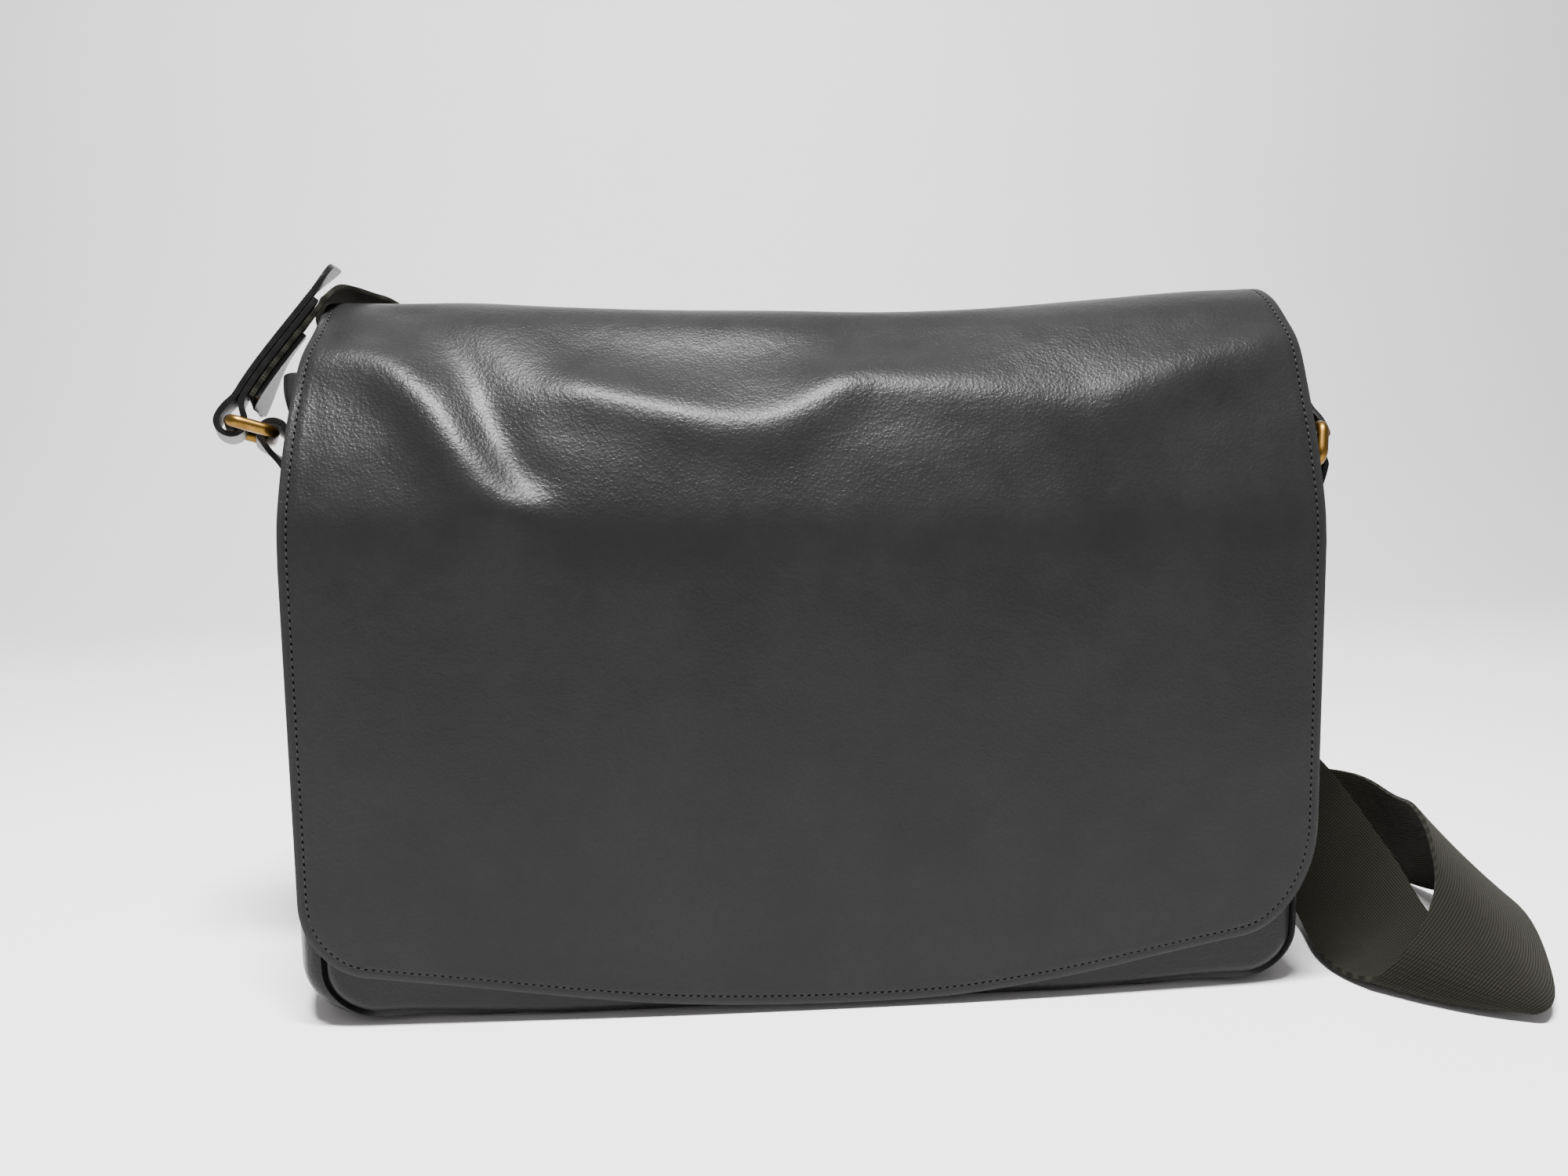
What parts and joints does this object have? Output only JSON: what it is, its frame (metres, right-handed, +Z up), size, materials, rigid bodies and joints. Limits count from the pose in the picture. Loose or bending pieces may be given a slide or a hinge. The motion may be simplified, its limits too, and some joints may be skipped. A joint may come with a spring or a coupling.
{
  "type": "messenger bag",
  "caption": "Soft leather messenger bag with a full front flap, rectangular brass rings and a wide woven shoulder strap that lies behind and beside it; carries papers and a laptop.",
  "frame": {"origin": "middle of the bag's base, on the floor that it stands on", "axes": "+X to the bag's right as seen from its front, +Y to its back, +Z up; the flap's face looks along -Y"},
  "size_m": [0.564, 0.2294, 0.3054],
  "materials": {
    "leather": "charcoal-black full-grain leather, fine pebble grain, soft sheen",
    "webbing": "dark olive-black woven cotton twill, matt",
    "brass": "satin brass wire"
  },
  "bodies": {
    "root": {"front_panel": "leather", "back_panel": "leather", "gusset": "leather", "flap": "leather", "ring_left": "brass", "ring_right": "brass", "ring_tab_left": "leather", "ring_tab_right": "leather", "strap_end_left": "leather", "strap_end_right": "leather", "strap_facing_left": "leather", "strap_facing_right": "leather", "webbing": "webbing"}
  },
  "joints": []
}
